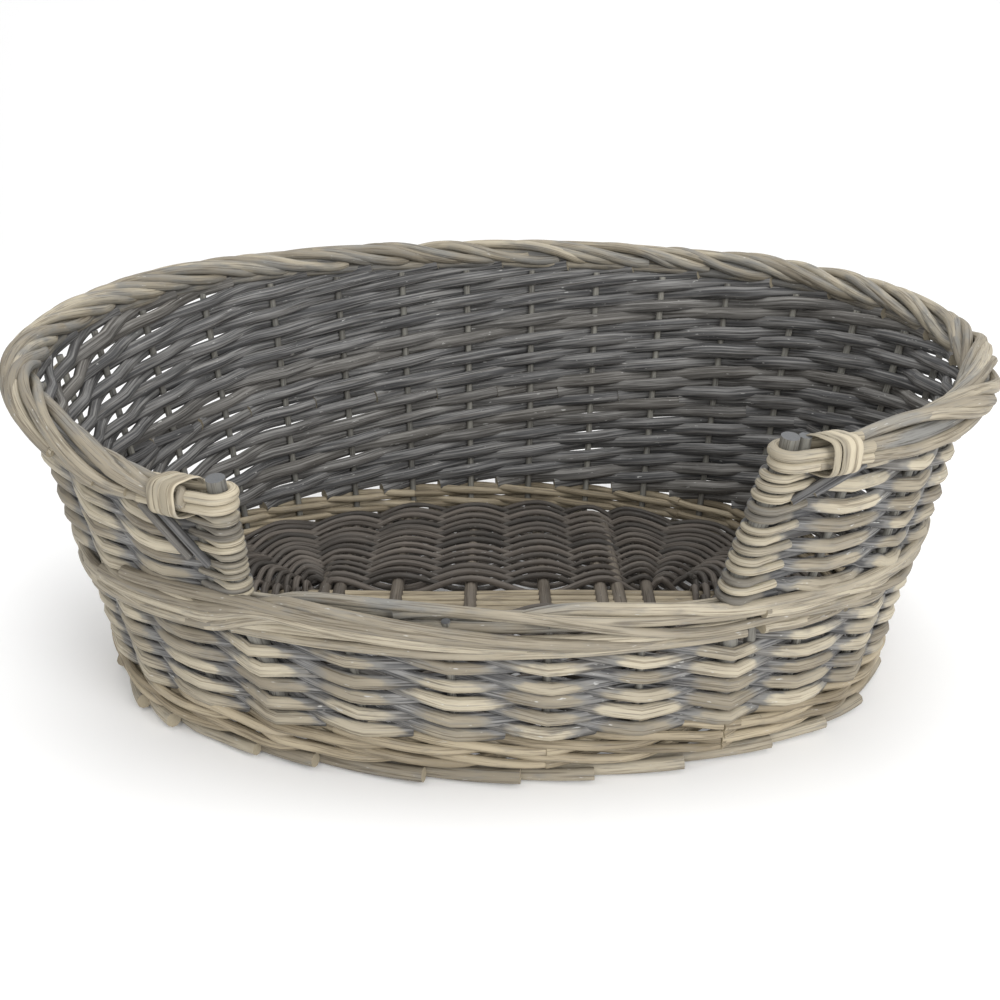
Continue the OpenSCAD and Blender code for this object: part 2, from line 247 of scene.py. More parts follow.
def mesh_from(name, points, faces, smooth):
    """A mesh object from whole arrays: points, a list of face arrays (quads or triangles), and
    whether each array is shaded smooth."""
    mesh = bpy.data.meshes.new(name)
    mesh.vertices.add(len(points))
    mesh.vertices.foreach_set("co", np.ravel(points).astype(np.float32))
    corners = np.concatenate([np.ravel(part) for part in faces]).astype(np.int32)
    sizes = np.concatenate([np.full(len(part), part.shape[1]) for part in faces])
    mesh.loops.add(len(corners))
    mesh.loops.foreach_set("vertex_index", corners)
    mesh.polygons.add(len(sizes))
    starts = np.concatenate([[0], np.cumsum(sizes)[:-1]]).astype(np.int32)
    mesh.polygons.foreach_set("loop_start", starts)
    flags = np.concatenate([np.full(len(part), flag) for part, flag in zip(faces, smooth)])
    mesh.update(calc_edges=True)
    mesh.polygons.foreach_set("use_smooth", flags)
    mesh.validate()
    piece = bpy.data.objects.new(name, mesh)
    bpy.context.scene.collection.objects.link(piece)
    return piece


def rods(name, path, radius, guide, sides=8, seed=1, slate=None, flat=1.0):
    """Rods as closed tubes. path is (rod, place, xyz) and radius (rod, place). A point of a tube is
    path + radius * (cos a * first + flat * sin a * second), for angles a all round. slate is how
    dark and blue each place is painted, from 0 to 1, partly as staining and partly as painted shade,
    and may be (rod, place) or (rod, place, side)."""
    path = np.asarray(path, float)
    count, places = path.shape[:2]
    radius = np.broadcast_to(np.asarray(radius, float), (count, places))
    draw = np.random.default_rng(seed)
    first, second = curve_frame(path, guide)
    around = np.arange(sides) * 2 * math.pi / sides
    ring = (np.cos(around)[:, None] * first[:, :, None, :]
            + flat * np.sin(around)[:, None] * second[:, :, None, :])
    points = path[:, :, None, :] + radius[:, :, None, None] * ring
    step = np.linalg.norm(np.diff(path, axis=1), axis=2)
    along = np.concatenate([np.zeros((count, 1)), np.cumsum(step, axis=1)], 1)
    along = along + draw.uniform(0, 50, (count, 1))
    shape = (count, places, sides)
    grain = np.stack([np.broadcast_to(along[:, :, None], shape),
                      radius[:, :, None] * np.cos(around) + draw.uniform(0, 9, (count, 1, 1)),
                      radius[:, :, None] * np.sin(around) + draw.uniform(0, 9, (count, 1, 1))], -1)
    slate = np.zeros(shape) if slate is None else np.broadcast_to(
        slate if np.ndim(slate) == 3 else np.asarray(slate, float).reshape(np.shape(slate) + (1,)), shape)
    tint = np.broadcast_to(draw.uniform(0, 1, (count, 1, 1)), shape)
    # quads between one ring and the next, then a fan on each end with its own ring, so a cut stays crisp
    first_index = np.arange(count)[:, None, None] * places * sides
    row = np.arange(places - 1)[None, :, None] * sides
    here, there = np.arange(sides), (np.arange(sides) + 1) % sides
    a, b = first_index + row + here, first_index + row + there
    quads = np.stack([a, b, b + sides, a + sides], -1).reshape(-1, 4)
    body = count * places * sides
    caps, cap_faces, cap_tint, cap_slate, cap_grain = [], [], [], [], []
    for end in (0, places - 1):
        rim = np.concatenate([points[:, end], path[:, end][:, None]], 1)
        base = body + sum(len(part) for part in caps) + np.arange(count)[:, None] * (sides + 1)
        middle = np.broadcast_to(base + sides, (count, sides))
        order = (here, there) if end else (there, here)
        cap_faces.append(np.stack([base + order[0], base + order[1], middle], -1).reshape(-1, 3))
        caps.append(rim.reshape(-1, 3))
        cap_tint.append(np.repeat(tint[:, 0, 0], sides + 1))
        cap_slate.append(np.repeat(slate[:, end].mean(1), sides + 1))
        cap_grain.append(np.concatenate([grain[:, end], grain[:, end].mean(1)[:, None]], 1).reshape(-1, 3))
    everything = np.concatenate([points.reshape(-1, 3)] + caps)
    piece = mesh_from(name, everything, [quads] + cap_faces, [True, False, False])
    cut = np.concatenate([np.zeros(body)] + [np.ones(len(part)) for part in caps])
    put_attribute(piece.data, "tint", "FLOAT", np.concatenate([tint.ravel()] + cap_tint))
    put_attribute(piece.data, "slate", "FLOAT", np.concatenate([slate.ravel()] + cap_slate))
    put_attribute(piece.data, "cut", "FLOAT", cut)
    put_attribute(piece.data, "grain", "FLOAT_VECTOR", np.concatenate([grain.reshape(-1, 3)] + cap_grain))
    print(f"{name}: {count} rods, {len(quads) * 2 + 2 * count * sides} triangles")
    return piece


def place(piece, *nodes, slot):
    """Hangs a finished piece on the basket's one body, in place of the CAD nodes it stands for."""
    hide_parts(*nodes)
    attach(piece, "root")
    return piece


def wander(draw, count, places, size, knots=6):
    """Slow random wandering for each rod: random values at a few knots, joined by straight lines
    and then eased, so that a rod bends gently and never jumps."""
    values = draw.normal(0, size, (count, knots))
    where = np.linspace(0, knots - 1, places)
    low = np.minimum(where.astype(int), knots - 2)
    part = where - low
    part = part * part * (3 - 2 * part)
    return values[:, low] * (1 - part) + values[:, low + 1] * part


def taper(count, places, butt, tip, draw, spread=0.06):
    """Radius of each rod from its butt to its tip, a little different for every rod."""
    return np.linspace(butt, tip, places)[None] * draw.normal(1, spread, (count, 1)).clip(0.86, 1.14)


def stain_and_shade(depth):
    """How dark a point is painted, partly as staining and partly as painted shade for the inside of the
    basket, from how far outside the stakes it lies: 1 within 3 mm, 0 beyond 8 mm, and smooth between."""
    part = np.clip((0.0080 - depth) / 0.0050, 0, 1)
    return part * part * (3 - 2 * part)


def side_stain_and_shade(off, radius, sides=8):
    """Staining and painted shade on each side of a rod: off is for its middle, and each side lies radius
    times a cosine further out or in, so the inner side of every rod is dark, partly as painted shade,
    and only the outer side is tan."""
    around = np.cos(np.arange(sides) * 2 * math.pi / sides)
    return stain_and_shade(off[:, :, None] + radius[:, :, None] * around)


# %% [markdown]
# ## The siding
#
# The wall is woven with one rod for every upright. Each rod goes in front of one stake and behind the
# next, and climbs by one rod's thickness at every stake, so all the rods lie at the same slant and the
# outside strokes stand straight above each other. Three rules make a whole wall of these rods: a
# rod's height grows with the number of stakes it has passed, its distance from the stakes swings
# between out and in, and it is sharply bent where it meets a stake, because willow is stiff.

# %% Weaving rule
STAKE_R = 0.003
POST_R = 0.0061
BEND = 0.88           # how much of the swing is a sharp zigzag: the rest is a smooth wave
PRESSED = 1.27        # a weaver's height over its thickness, as the weave presses the rods flat


def swing(level):
    """+1 on even levels and -1 on odd ones: a zigzag mixed with a cosine wave."""
    phase = np.mod(level, 2.0)
    zigzag = np.abs(phase - 1) * 2 - 1
    return BEND * zigzag + (1 - BEND) * np.cos(math.pi * level)


def reach(k, thickness):
    """How far a rod's middle must pass from the wall's middle line: the upright's radius plus the
    rod's own. It is more at the two posts than at a stake."""
    place_in_turn = np.mod(k, COUNT)
    near_post = np.minimum(np.abs(place_in_turn), np.minimum(np.abs(place_in_turn - TALL - 1),
                                                             np.abs(place_in_turn - COUNT)))
    return STAKE_R + thickness + (POST_R - STAKE_R) * np.clip(1 - near_post * 2.2, 0, 1)


def weaver_radius(pitch):
    """Weavers are picked to suit the space for them: thicker where the rows are further apart. The
    radius is a constant plus a share of the distance between rows."""
    return 0.0013 + 0.385 * pitch


def at_back(angle):
    """0 along the front and the sides and 1 along the back, smooth between: there the middle wale
    ends, and the lower siding runs straight on into the upper."""
    away = 180 - np.abs(from_front(angle))
    part = np.clip((95 - away) / 40, 0, 1)
    return part * part * (3 - 2 * part)


def siding(name, nodes, starts, low, high, levels, first, last, seed):
    """Slanting rods between two heights, which are functions of the angle. Rod i is at upright i - t
    when it has climbed t levels, and its height is (t + 1/2) / levels of the way from low to high.
    first and last bound its uprights."""
    draw = np.random.default_rng(seed)
    places = 8 * levels
    begin = np.maximum(-0.55, starts - last)
    end = np.minimum(levels - 0.45, starts - first)
    t = begin[:, None] + (end - begin)[:, None] * np.linspace(0, 1, places)
    k = starts[:, None] - t
    angle = upright(k)
    low, top = low(angle), high(angle)
    whole = weaver_radius((top - low) / levels) * taper(len(starts), places, 1.08, 0.92, draw)
    radius = whole * (1 + wander(draw, len(starts), places, 0.035, 9))
    height = low + (top - low) * (t + 0.5) / levels + wander(draw, len(starts), places, 0.0006, levels)
    off = swing(t) * reach(k, whole) + wander(draw, len(starts), places, 0.0003, levels)
    path = on_wall(angle, off, height)
    # the inner side of each rod is darkened: partly staining, partly painted shade for the inside
    piece = rods(name, path, radius, outward(angle), seed=seed + 1, slate=side_stain_and_shade(off, radius),
                 flat=PRESSED)
    return place(piece, *nodes, slot="siding")


FOOT_WALE_TOP = 0.0385
SIDING_LOW, SIDING_MID = FOOT_WALE_TOP + 0.0005, 0.1075
SIDING_TOP_LOW = 0.1345
BACK_JOIN = 0.1303    # height where the two bands of siding meet at the back
LOW_LEVELS = 10


def below_wale(angle):
    """Height where the lower siding ends."""
    return SIDING_MID + (BACK_JOIN - SIDING_MID) * at_back(angle)


def above_wale(angle):
    """Height where the upper siding begins."""
    return SIDING_TOP_LOW + (BACK_JOIN - SIDING_TOP_LOW) * at_back(angle)


def level_line(height):
    """A height that is the same all round."""
    return lambda angle: height + 0 * angle


NO_LIMIT = 1e9
siding("siding_low", [f"siding_lower_{s}" for s in ("front", "right", "back", "left")], np.arange(COUNT),
       level_line(SIDING_LOW), below_wale, LOW_LEVELS, -NO_LIMIT, NO_LIMIT, 11)

# %% [markdown]
# The upper siding runs only from post to post. It has the same slant, but its rods start and end at
# the posts, and it is taller at the back, where the rim stands higher. The rows share that extra
# height, so thicker rods are picked for the back.

# %% Upper siding
UP_LEVELS = 13
UNDER_RIM = 0.0085    # the siding stops this far under the middle of the rim


def siding_top(angle):
    """Height where the upper siding meets the rim."""
    return rim_height(angle) - UNDER_RIM


def joint(level, side):
    """How far from a post, in uprights, a rod of a level changes from the wall to its turn round the
    post. The change is always on the inner side of the wall, and within the length the rod has."""
    spare = level + 0.55 if side > 0 else UP_LEVELS - 0.45 - level
    return np.minimum(np.where(level % 2 == 0, 0.98, 0.34), spare)


up_starts = np.arange(1, TALL + UP_LEVELS)
up_first = np.where(up_starts < UP_LEVELS, joint(up_starts, 1), -NO_LIMIT)
up_last = np.where(up_starts > TALL, TALL + 1 - joint(up_starts - TALL - 1, -1), NO_LIMIT)
siding("siding_up", [f"siding_upper_{s}" for s in ("right", "back", "left")], up_starts,
       above_wale, siding_top, UP_LEVELS, up_first, up_last, 23)

# %% [markdown]
# ## Waling
#
# A wale is a stronger band made with three rods at a time. Each rod passes in front of two stakes and
# behind one, and the three take turns, so from outside it looks like a flat rope. One wale of two
# rounds closes the foot. Another runs along the two sides at the height of the front rail.

# %% Wale
def eased(values, t):
    """Values given at whole numbers, joined by a smooth curve: the Catmull-Rom curve through four
    neighbours."""
    low = np.floor(t).astype(int)
    part = t - low
    p = [values(low + shift_by) for shift_by in (-1, 0, 1, 2)]
    return 0.5 * (2 * p[1] + (p[2] - p[0]) * part + (2 * p[0] - 5 * p[1] + 4 * p[2] - p[3]) * part ** 2
                  + (3 * p[1] - p[0] - 3 * p[2] + p[3]) * part ** 3)


def wale_round(height, thickness, rise, begin, end, seed, pieces_long=7):
    """Three rods that take turns round the stakes. With n the number of stakes passed, a rod is
    outside for n = 0 and 1 and inside for n = 2, then again. It starts each turn high and ends low.
    Each is made of lengths that overlap by one stake, as willow is only so long."""
    draw = np.random.default_rng(seed)
    path, radius, off_all, angle_all = [], [], [], []
    places = pieces_long * 8 + 8
    for rod in range(3):
        start = begin + rod * pieces_long / 3 - pieces_long
        while start < end:
            t = np.linspace(max(start, begin), min(start + pieces_long + 0.9, end), places)
            start += pieces_long
            if t[-1] - t[0] < 0.8:
                continue
            turn_off = lambda n: np.where(np.mod(n - rod, 3) == 2, -1.0, 1.0)
            turn_up = lambda n: np.choose(np.mod(n - rod, 3), [1.0, -0.75, 0.1])
            off = eased(turn_off, t) * reach(t, thickness)
            up = eased(turn_up, t) * rise + wander(draw, 1, places, 0.0005)[0]
            angle = upright(t)
            path.append(on_wall(angle, off, height(angle) + up))
            radius.append(np.linspace(thickness * 1.1, thickness * 0.86, places) * draw.uniform(0.94, 1.06))
            off_all.append(off)
            angle_all.append(angle)
    return np.array(path), np.array(radius), np.array(off_all), np.array(angle_all)


def wale(name, nodes, heights, thickness, rise, runs, seed, slot, inside=1.0):
    """Rounds of waling on top of each other along one or more runs, as one piece. inside scales the
    staining and painted shade on its inner face."""
    rounds = [wale_round(height, thickness, rise, *run, seed + i)
              for i, height in enumerate(heights) for run in runs]
    path, radius, off, angle = (np.concatenate(part) for part in zip(*rounds))
    # the inner side of each rod is darkened: partly staining, partly painted shade for the inside
    piece = rods(name, path, radius, outward(angle), seed=seed,
                 slate=inside * side_stain_and_shade(off + 0.001, radius))
    return place(piece, *nodes, slot=slot)


def wale_line(part):
    """A height part of the way across the room between the two bands of siding."""
    return lambda angle: below_wale(angle) + part * (above_wale(angle) - below_wale(angle))


FOOT_ROUNDS = [level_line(0.0205), level_line(0.0318)]
wale("foot_wale_rods", ["foot_wale", "upsett_wale"], FOOT_ROUNDS, 0.0036, 0.0036,
     [(0, COUNT)], 31, "light_willow", inside=0.0)
MID_ROUNDS = [wale_line(0.22), wale_line(0.68)]
WALE_SIDES = [(0.35, 7.2), (TALL - 6.2, TALL + 0.65)]      # uprights between which the middle wale runs
wale("mid_wale_rods", ["mid_wale_outer", "mid_wale_inner"], MID_ROUNDS, 0.0037, 0.0032,
     WALE_SIDES, 41, "washed_willow")

# %% [markdown]
# ## Foot border
#
# The basket stands on the ends of its stakes. Each one is turned along the foot for more than one
# stake's distance, and its cut end shows where it comes to lie over the start of the next.

# %% Foot border
def foot_border():
    """One short thick rod for each upright: it starts inside and on the floor, then moves outwards
    and up until its cut end lies over the start of the next rod."""
    draw = np.random.default_rng(51)
    places = 26
    s = np.linspace(0, 1, places)[None]
    start = np.arange(COUNT)[:, None] + draw.normal(0, 0.05, (COUNT, 1))
    length = draw.uniform(1.45, 1.72, (COUNT, 1))
    angle = upright(start + s * length)
    off = -0.004 + 0.0145 * s ** 0.9 + draw.normal(0, 0.0004, (COUNT, 1))
    radius = taper(COUNT, places, 0.0045, 0.0050, draw)
    height = radius + 0.0003 + 0.0046 * s ** 1.5
    # the start, inside the basket, is darkened: partly staining, partly painted shade
    return rods("foot_border_rods", on_wall(angle, off, height), radius, outward(angle), sides=10, seed=52,
                slate=np.clip(0.3 - s, 0, 1) + 0 * radius)


place(foot_border(), "foot_border_outer", "foot_border_inner", slot="washed_willow")

# %% [markdown]
# ## Stakes and posts
#
# The stakes are straight and thin, and show as short pale dashes between the strokes of the weave. The
# two entry posts are thick sticks with a sawn top. Each has a thinner liner stick beside it.

# %% Stakes, posts and liners
def uprights(name, angles, low, high, thick, seed, sides=8, places=14):
    """Straight sticks up the wall from a low to a high point, a little uneven along their length."""
    draw = np.random.default_rng(seed)
    angles = np.asarray(angles, float)[:, None]
    height = low + (np.reshape(high, (-1, 1)) - low) * np.linspace(0, 1, places)[None]
    angle = angles + wander(draw, len(angles), places, 0.05, 4)
    radius = thick * (1 + wander(draw, len(angles), places, 0.03))
    path = on_wall(angle, 0 * height, height)
    return rods(name, path, radius, outward(angles + 0 * height), sides=sides, seed=seed)


STAKE_FOOT = 0.0125   # height where a stake begins
SHORT_TOP = 0.1305    # height where a short stake ends, inside the rail
POST_FOOT = 0.047     # height where a post or a liner stick begins
stakes_tall = uprights("stakes_tall", tall_angle, STAKE_FOOT, siding_top(tall_angle) - 0.006, STAKE_R, 61)
place(stakes_tall, "stakes_right", "stakes_back", "stakes_left", slot="grey_stick")
stakes_short = uprights("stakes_short", short_angle, STAKE_FOOT, SHORT_TOP, STAKE_R, 62)
place(stakes_short, "stakes_front", slot="grey_stick")

post_angle = np.array([ENTRY, 360 - ENTRY])
post_top = span("post_right", 2)[1] - np.array([0.0055, 0.0040]) - sag(post_angle)
post_sticks = uprights("entry_posts", post_angle, POST_FOOT, post_top, POST_R, 63, sides=20, places=30)
place(post_sticks, "post_right", "post_left", slot="grey_stick")
degree_per_metre = math.degrees(1 / SIDE_R)
# a liner for each post, and a short second stick whose cut end shows beside the right post
liner_angle = post_angle[[0, 1, 0]] + np.array([0.0185, -0.0185, 0.0115]) * degree_per_metre
liner_foot = np.array([[POST_FOOT], [POST_FOOT], [0.2]])
liner_top = np.append(rim_height(liner_angle[:2]) - 0.016, post_top[0] - 0.001)
liner_sticks = uprights("liner_sticks", liner_angle, liner_foot, liner_top, 0.004, 64)
place(liner_sticks, "liner_right", "liner_left", slot="grey_stick")

# %% [markdown]
# Where a weaver reaches a post it turns round it and goes back. These turns sit tight on each other and
# hide the post between the rail and the rim. Rods that reach the post outside end inside, and the ones
# between them do the opposite, so the outer face of the post shows long strokes and short tails in turn.

# %% Turns round the posts
TAIL = 0.42           # how far a tail runs back into the wall, in uprights


def post_turns(name, side, node, seed):
    """The ends of the upper siding's rods at one post. With s from 0 to 3: up to 1 the rod follows
    the weave to the post, up to 2 it goes half a circle round it on the entry side, and up to 3 its
    tail runs back on the other side of the wall and closes on the wall's middle line."""
    draw = np.random.default_rng(seed)
    places = 73
    s = np.linspace(0, 3, places)[None]
    level = np.arange(UP_LEVELS)[:, None]
    outside = np.where(level % 2 == 0, 1.0, -1.0)
    into_wall = np.where(s < 1, joint(level, side) * (1 - s), TAIL * np.clip(s - 2, 0, 1))
    t = level - side * np.where(s < 1, into_wall, 0)
    k = (0 if side > 0 else TALL + 1) + side * into_wall
    turn = np.clip(s - 1, 0, 1) * math.pi
    near = np.clip(1.4 - np.abs(s - 1.5), 0, 1)
    top = siding_top(upright(k))
    thick = weaver_radius((top - SIDING_TOP_LOW) / UP_LEVELS) * (1 - 0.27 * np.clip(s * 1.2, 0, 1))
    thick = thick * draw.normal(1, 0.07, (UP_LEVELS, 1)).clip(0.85, 1.12)
    off = np.where(s < 1, swing(t) * reach(k, thick),
                   outside * (POST_R + thick) * np.cos(turn) * (1 - 0.5 * np.clip(s - 2, 0, 1) ** 1.3))
    angle = upright(k) - side * (POST_R + thick) * np.sin(turn) * degree_per_metre
    height = SIDING_TOP_LOW + (top - SIDING_TOP_LOW) * (t + 0.5) / UP_LEVELS
    height = height + near * draw.normal(0, 0.0007, (UP_LEVELS, 1)) + 0.0012 * outside * np.cos(turn) * near
    path = on_wall(angle, off, height)
    # the side towards the inside is darkened: partly staining, partly painted shade
    piece = rods(name, path, thick, [0, 0, 1], seed=seed, slate=stain_and_shade(off + 0.0095 * np.sin(turn) + 0.002))
    return place(piece, node, slot="skein")


post_turns("turns_right", 1, "post_wrap_right", 71)
post_turns("turns_left", -1, "post_wrap_left", 72)

# %% [markdown]
# ## Rolled borders
#
# The rim and the front rail are finished the same way. Stake after stake is bent over and laid along
# the edge on top of the ones before it, so each rod rolls slowly from the inside, over the top, to the
# outside, and ends in a cut. Together they make a thick slanting rope.

# %% Rolled rods
BUNDLE_R = 0.0098     # from the middle of the rim to the middles of its rods
BOUND = 0.34          # how much smaller the rim's end is where it is lashed


def roll(starts, length, turn_from, turn_to, ring, draw, places=34, squash=1.0):
    """Angle, distance outside the bundle's middle, and height above it, for rods that start one
    after another. Each turns from one angle round the bundle to another while it runs its length."""
    count = len(starts)
    s = np.linspace(0, 1, places)[None]
    lengths = length * draw.uniform(0.9, 1.12, (count, 1))
    angle = angle_at(starts[:, None], s * lengths)
    eased_s = s + 0.12 * np.sin(2 * math.pi * s) * draw.uniform(-1, 1, (count, 1))
    turn = np.radians(turn_from + (turn_to - turn_from) * eased_s + draw.normal(0, 5, (count, 1)))
    far = ring * (1 - 0.45 * np.clip(1 - s / 0.12, 0, 1) ** 2) * draw.normal(1, 0.04, (count, 1))
    return angle, far * np.cos(turn), far * np.sin(turn) * squash


def squeeze(angle):
    """How tightly the rim's end is bound: 1 at a lashing and 0 from about a hand's width away."""
    away = np.minimum(angle - ENTRY, 360 - ENTRY - angle) / degree_per_metre
    return np.exp(-(np.clip(away - 0.035, 0, None) / 0.04) ** 2)


def rim_border():
    """The rim's rolled rods, two for every stake."""
    draw = np.random.default_rng(81)
    begin, finish = ENTRY + 2.2, 360 - ENTRY - 2.2
    total = length_between(begin, finish)
    length = 0.172
    count = 52
    starts = angle_at(begin, (total - length * 0.55) * np.linspace(-0.03, 1, count))
    angle, off, up = roll(np.maximum(starts, begin), length, 205, -32, BUNDLE_R, draw)
    inside = np.minimum(angle, finish)
    pinch = 1 - BOUND * squeeze(inside)
    off, up = off * pinch, up * pinch
    radius = taper(count, angle.shape[1], 0.0047, 0.0038, draw, 0.09) * (1 - 0.1 * squeeze(inside))
    path = on_rim(inside, off, up)
    # the inner side is lightly darkened: partly staining, partly painted shade
    piece = rods("rim_border_rods", path, radius, outward(inside), sides=10, seed=82,
                 slate=0.3 * stain_and_shade(off + 0.006))
    return place(piece, "rim_rods_outer", "rim_rods_top", "rim_rods_inner", slot="washed_willow")


def rim_under():
    """Straight rods that fill the underside and the middle of the rim, and at each end two dark
    ones that leave the bundle and run down the wall towards the post."""
    draw = np.random.default_rng(83)
    places = 200
    begin, finish = ENTRY + 1.6, 360 - ENTRY - 1.6
    turns = np.radians([235, 270, 305, 0])[:, None]
    rings = np.array([0.0088, 0.0088, 0.0088, 0.0])[:, None]
    angle = np.linspace(begin, finish, places)[None] + 0 * turns
    pinch = 1 - BOUND * squeeze(angle)
    off = rings * np.cos(turns) * pinch + wander(draw, 4, places, 0.0005, 30)
    up = rings * np.sin(turns) * pinch + wander(draw, 4, places, 0.0005, 30)
    radius = np.array([0.0046, 0.0048, 0.0046, 0.0062])[:, None] * pinch
    path = on_rim(angle, off, up)
    s = np.linspace(0, 1, places)[None]
    side = np.array([1, 1, -1, -1])[:, None]
    along = np.array([0.056, 0.040, 0.058, 0.042])[:, None] - 0.030 * s
    tail_angle = np.where(side > 0, ENTRY, 360 - ENTRY) + side * along * degree_per_metre
    height = rim_height(tail_angle) - 0.008 - np.array([0.017, 0.020, 0.036, 0.038])[:, None] * s
    tail = on_wall(tail_angle, 0.0125 - 0.004 * s, height)
    path = np.concatenate([path, tail])
    radius = np.concatenate([radius, 0.0029 + 0 * tail_angle])
    angle = np.concatenate([angle, tail_angle])
    # the bundle's inner side is darkened, partly staining and partly painted shade; the two tails are dark
    # all along
    dark = np.concatenate([0.6 * stain_and_shade(off + 0.004), 0.9 + 0 * tail_angle])
    piece = rods("rim_under_rods", path, radius, outward(angle), sides=10, seed=84, slate=dark)
    return place(piece, "rim_core", "rim_rods_under", slot="washed_willow")


rim_border()
rim_under()

# %% [markdown]
# At each post the outermost rods of the rim go round the post's top and back along the inside, which
# ties the rim to the post. Four turns of flat skein, which is willow split and shaved thin, bind the
# bundle just behind the post.

# %% Loops and lashing
def post_loop(name, side, node, seed):
    """Two rods, one above the other, in a hairpin round the post's top, in the tilt of the rim."""
    draw = np.random.default_rng(seed)
    post = ENTRY if side > 0 else 360 - ENTRY
    per_metre = side * degree_per_metre
    places = 56
    u = np.linspace(-1, 1, places)[None]
    thick = np.array([[0.0037], [0.0035]]) + 0 * u
    round_r = POST_R + thick + 0.0002
    bend = np.clip(np.abs(u) - 0.3, 0, 1) / 0.7
    turn = np.clip(u / 0.3, -1, 1) * math.pi / 2
    along = np.where(np.abs(u) < 0.3, -round_r * np.cos(turn), bend * 0.055)
    off = -round_r * np.sin(turn) * (1 - 0.5 * bend ** 0.8)
    up = np.array([[0.0030], [-0.0042]]) + draw.normal(0, 0.0003, (2, 1)) + 0.0012 * u
    angle = post + along * per_metre
    path = on_rim(angle, off - OVERHANG * 0.9 * (1 - bend), up)
    piece = rods(name, path, thick, [0, 0, 1], sides=12, seed=seed)
    return place(piece, node, slot="skein")


SKEIN_HALF = 0.0008   # half the thickness of the skein
SKEIN_WIDE = 3.3      # its width over its thickness
LASH_PITCH = 0.0057   # distance between its turns


def lashing(name, side, node, seed):
    """Four flat turns round the end of the rim. The path is a rounded square: the cosine and sine of
    its angle raised to a power below 1. Each turn slants across the top and drops straight outside."""
    draw = np.random.default_rng(seed)
    post = ENTRY if side > 0 else 360 - ENTRY
    turns, places = 4, 56
    a = np.linspace(0, 2 * math.pi, places)[None] + math.radians(250)
    c, s = np.cos(a), np.sin(a)
    along = 0.0175 + LASH_PITCH * np.arange(turns)[:, None] + 0.0036 * np.tanh(2.2 * c)
    along = along + draw.normal(0, 0.0003, (turns, 1))
    off = 0.0117 * np.sign(c) * np.abs(c) ** 0.62
    up = 0.0119 * np.sign(s) * np.abs(s) ** 0.62
    angle = post + side * along * degree_per_metre
    facing = c[:, :, None] * outward(angle) + s[:, :, None] * np.array([0, 0, 1])
    piece = rods(name, on_rim(angle, off, up), SKEIN_HALF, facing, sides=12, seed=seed, flat=SKEIN_WIDE)
    return place(piece, node, slot="skein")


for side, word in ((1, "right"), (-1, "left")):
    post_loop(f"loop_{word}", side, f"post_loop_{word}", 90 + side)
    lashing(f"lashing_turns_{word}", side, f"lashing_{word}", 95 + side)

# %% [markdown]
# The front rail is lower than the rim and made of longer rods. It has to take the pet's feet, so it is
# rolled thick. Its rods run on past both posts and lie along the outside of the sides, where four lanes
# of them continue the line of the rail, and straight rods fill it from post to post.

# %% Front rail
RAIL_Z = 0.1255       # height of the rail's middle
RAIL_ROLLED, RAIL_STRAIGHT = 8, 5      # how many rods of each kind
RAIL_OUT = 0.0084     # how far outside the stakes the rods lie once they are past a post
LANES = np.array([-0.0135, -0.0055, 0.0020, 0.0090])      # their heights about the rail's own


def rail_rolled(draw, places):
    """Angle, distance out and height of the long rods. Along the entry they roll like the rim's, and
    past a post each eases over to its own lane on the outside of the wall."""
    starts = 360 + np.linspace(-68, 2, RAIL_ROLLED)
    angle, off, up = roll(starts, 0.36, 112, -66, 0.0108, draw, places, squash=1.25)
    lane = LANES[np.arange(RAIL_ROLLED) % len(LANES)][:, None]
    past = np.clip((np.abs(from_front(angle)) - ENTRY + 5) / 9, 0, 1)
    past = past * past * (3 - 2 * past)
    off = off * (1 - past) + RAIL_OUT * past
    up = up * (1 - past) + (lane + wander(draw, RAIL_ROLLED, places, 0.0008)) * past
    return angle, off, up


def rail_straight(draw, places):
    """Angle, distance out and height of the straight rods, from post to post."""
    angle = 360 + np.linspace(-ENTRY - 1.2, ENTRY + 1.2, places)[None] + np.zeros((RAIL_STRAIGHT, 1))
    off = np.array([0.0066, 0.0074, -0.0082, -0.0086, 0.0])[:, None]
    up = np.array([-0.0060, -0.0142, -0.006, 0.002, 0.000])[:, None]
    off = off + wander(draw, RAIL_STRAIGHT, places, 0.0006)
    up = up + wander(draw, RAIL_STRAIGHT, places, 0.0008)
    return angle, off, up


def front_rail():
    """The rail's rolled and straight rods as one piece."""
    draw = np.random.default_rng(101)
    places = 90
    rolled = rail_rolled(draw, places)
    rolled_radius = taper(RAIL_ROLLED, places, 0.0044, 0.0034, draw, 0.08)
    straight = rail_straight(draw, places)
    angle, off, up = (np.concatenate(pair) for pair in zip(rolled, straight))
    radius = np.concatenate([rolled_radius, np.full((RAIL_STRAIGHT, places), 0.0037)])
    # the inner side is lightly darkened: partly staining, partly painted shade
    piece = rods("front_rail_rods", on_wall(angle, off, RAIL_Z + up), radius, outward(angle), sides=10,
                 seed=102, slate=0.3 * stain_and_shade(off + 0.004))
    return place(piece, "front_rail_outer", "front_rail_inner", "front_rail_cap", slot="washed_willow")


front_rail()

# %% [markdown]
# ## The base
#
# The base is begun before anything else. Thick cross sticks are pierced or split, and the long sticks
# pass through them. Thin rods are then woven round this cross, over one stick and under the next, until
# the oval is wide enough. The long sticks stay bare along the middle.

# %% Base sticks
CROSS_AT = np.array([-0.152, -0.139, -0.089, -0.025, 0.039, 0.088, 0.103, 0.128])
CROSS_R, LONG_R, LONG_COUNT = 0.0056, 0.0038, 4
base_z = (base_low[2] + base_high[2]) / 2
long_y = np.linspace(span("long_sticks", 1)[0] + LONG_R, span("long_sticks", 1)[1] - LONG_R, LONG_COUNT)
middle_y = long_y.mean()


